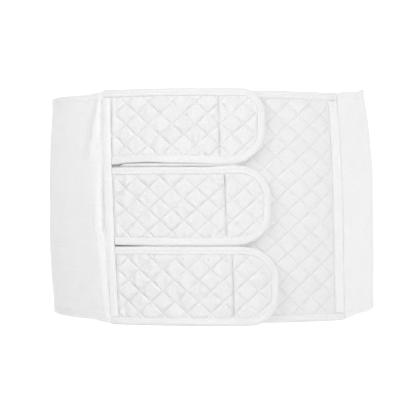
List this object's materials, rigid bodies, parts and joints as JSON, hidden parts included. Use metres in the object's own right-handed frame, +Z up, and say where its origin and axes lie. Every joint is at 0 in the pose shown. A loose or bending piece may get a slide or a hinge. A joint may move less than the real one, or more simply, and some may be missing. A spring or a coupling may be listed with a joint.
{
  "type": "postpartum belt",
  "caption": "White postpartum belt closed round the waist: bound, quilted straps with rounded ends lie over a quilted front panel, and a stretch knit wrap goes round the back.",
  "frame": {"origin": "middle of the hollow that the waist passes through, at half the height of the front", "axes": "+Z up along the wearer's body, -Y out of the belt's front, +X to the right of a viewer who faces the front"},
  "size_m": [0.354, 0.2362, 0.2487],
  "materials": {
    "quilted_cotton": "soft matt cotton, quilted in diamonds over thin padding",
    "binding_tape": "plain woven tape, matt",
    "stretch_knit": "fine stretch knit, matt",
    "hook_tape": "hook side of a hook and loop fastener"
  },
  "bodies": {
    "root": {"stretch_wrap": "stretch_knit", "seam_tape_left": "binding_tape", "seam_tape_right": "binding_tape", "front_panel": "quilted_cotton", "front_binding": "binding_tape", "strap_top": "quilted_cotton", "strap_top_binding": "binding_tape", "strap_top_hook_patch": "hook_tape", "strap_middle": "quilted_cotton", "strap_middle_binding": "binding_tape", "strap_middle_hook_patch": "hook_tape", "strap_bottom": "quilted_cotton", "strap_bottom_binding": "binding_tape", "strap_bottom_hook_patch": "hook_tape"}
  },
  "joints": []
}
